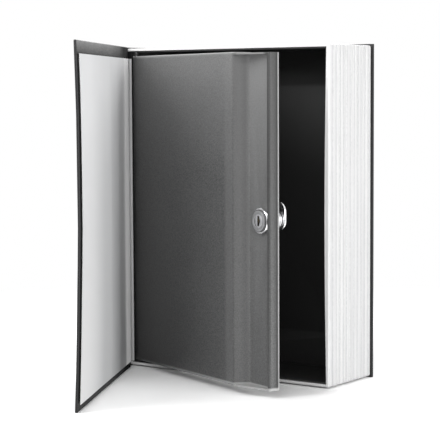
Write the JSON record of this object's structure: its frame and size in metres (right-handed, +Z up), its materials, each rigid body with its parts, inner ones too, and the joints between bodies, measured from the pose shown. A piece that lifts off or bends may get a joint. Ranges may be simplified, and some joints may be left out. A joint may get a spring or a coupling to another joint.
{
  "type": "book diversion safe",
  "caption": "Book diversion safe: hardcover book with a moulded page block around a steel box, its hinged steel door fitted with a cam lock; cover open, door ajar.",
  "frame": {"origin": "Middle of the back board's bottom edge, on the surface the book stands on", "axes": "+Z up the standing book; +X from the spine to the fore-edge; +Y out of the back cover, so the book opens towards -Y"},
  "size_m": [0.1996, 0.242, 0.265],
  "materials": {
    "leatherette": "black grained book cloth over board",
    "paper": "uncoated light grey endpaper",
    "page_plastic": "white moulded plastic with leaf grooves",
    "black_steel": "black powder coat on sheet steel",
    "grey_steel": "dark grey hammered paint on sheet steel",
    "bare_steel": "zinc plated steel",
    "chrome": "nickel plated, softly polished",
    "brass": "stamped brass",
    "nylon": "moulded nylon"
  },
  "bodies": {
    "case": {"back_board": "leatherette", "spine_board": "leatherette", "back_joint_cloth": "leatherette", "front_joint_cloth": "leatherette", "page_block": "page_plastic", "steel_box": "black_steel", "strike_bracket": "black_steel", "box_rivet_1": "bare_steel", "box_rivet_2": "bare_steel", "box_rivet_3": "bare_steel", "box_rivet_4": "bare_steel", "hinge_rod": "bare_steel", "lower_hinge_washer": "nylon", "upper_hinge_spacer": "nylon", "endpaper_stub": "paper"},
    "cover": {"front_board": "leatherette", "front_endpaper": "paper"},
    "door": {"door_pan": "grey_steel", "lock_barrel": "chrome", "lock_nut": "chrome", "lock_washer": "bare_steel", "rear_lock_nut": "bare_steel"},
    "plug": {"lock_plug": "chrome", "lock_wafer_1": "brass", "lock_wafer_2": "brass", "lock_wafer_3": "brass", "lock_wafer_4": "brass", "lock_wafer_5": "brass", "lock_cam": "chrome", "cam_washer": "bare_steel", "cam_screw": "bare_steel"}
  },
  "joints": [
    {"name": "cover_hinge", "type": "hinge", "parent": "case", "child": "cover", "pos_m": [-0.09875, -0.0668, 0.1325], "axis": [0, 0, -1], "range_deg": [-61.8, 118.2], "deforming": ["front_joint_cloth"]},
    {"name": "door_hinge", "type": "hinge", "parent": "case", "child": "door", "pos_m": [-0.09405, -0.0612, 0.1325], "axis": [0, 0, -1], "range_deg": [-21.3, 40.8]},
    {"name": "lock_turn", "type": "hinge", "parent": "door", "child": "plug", "pos_m": [0.06097, -0.12443, 0.13213], "axis": [0.3633, 0.9317, 0], "range_deg": [0, 90]}
  ],
  "couplings": [
    {"joint": "door_hinge", "follows": "cover_hinge", "ratio": 0.34466}
  ]
}
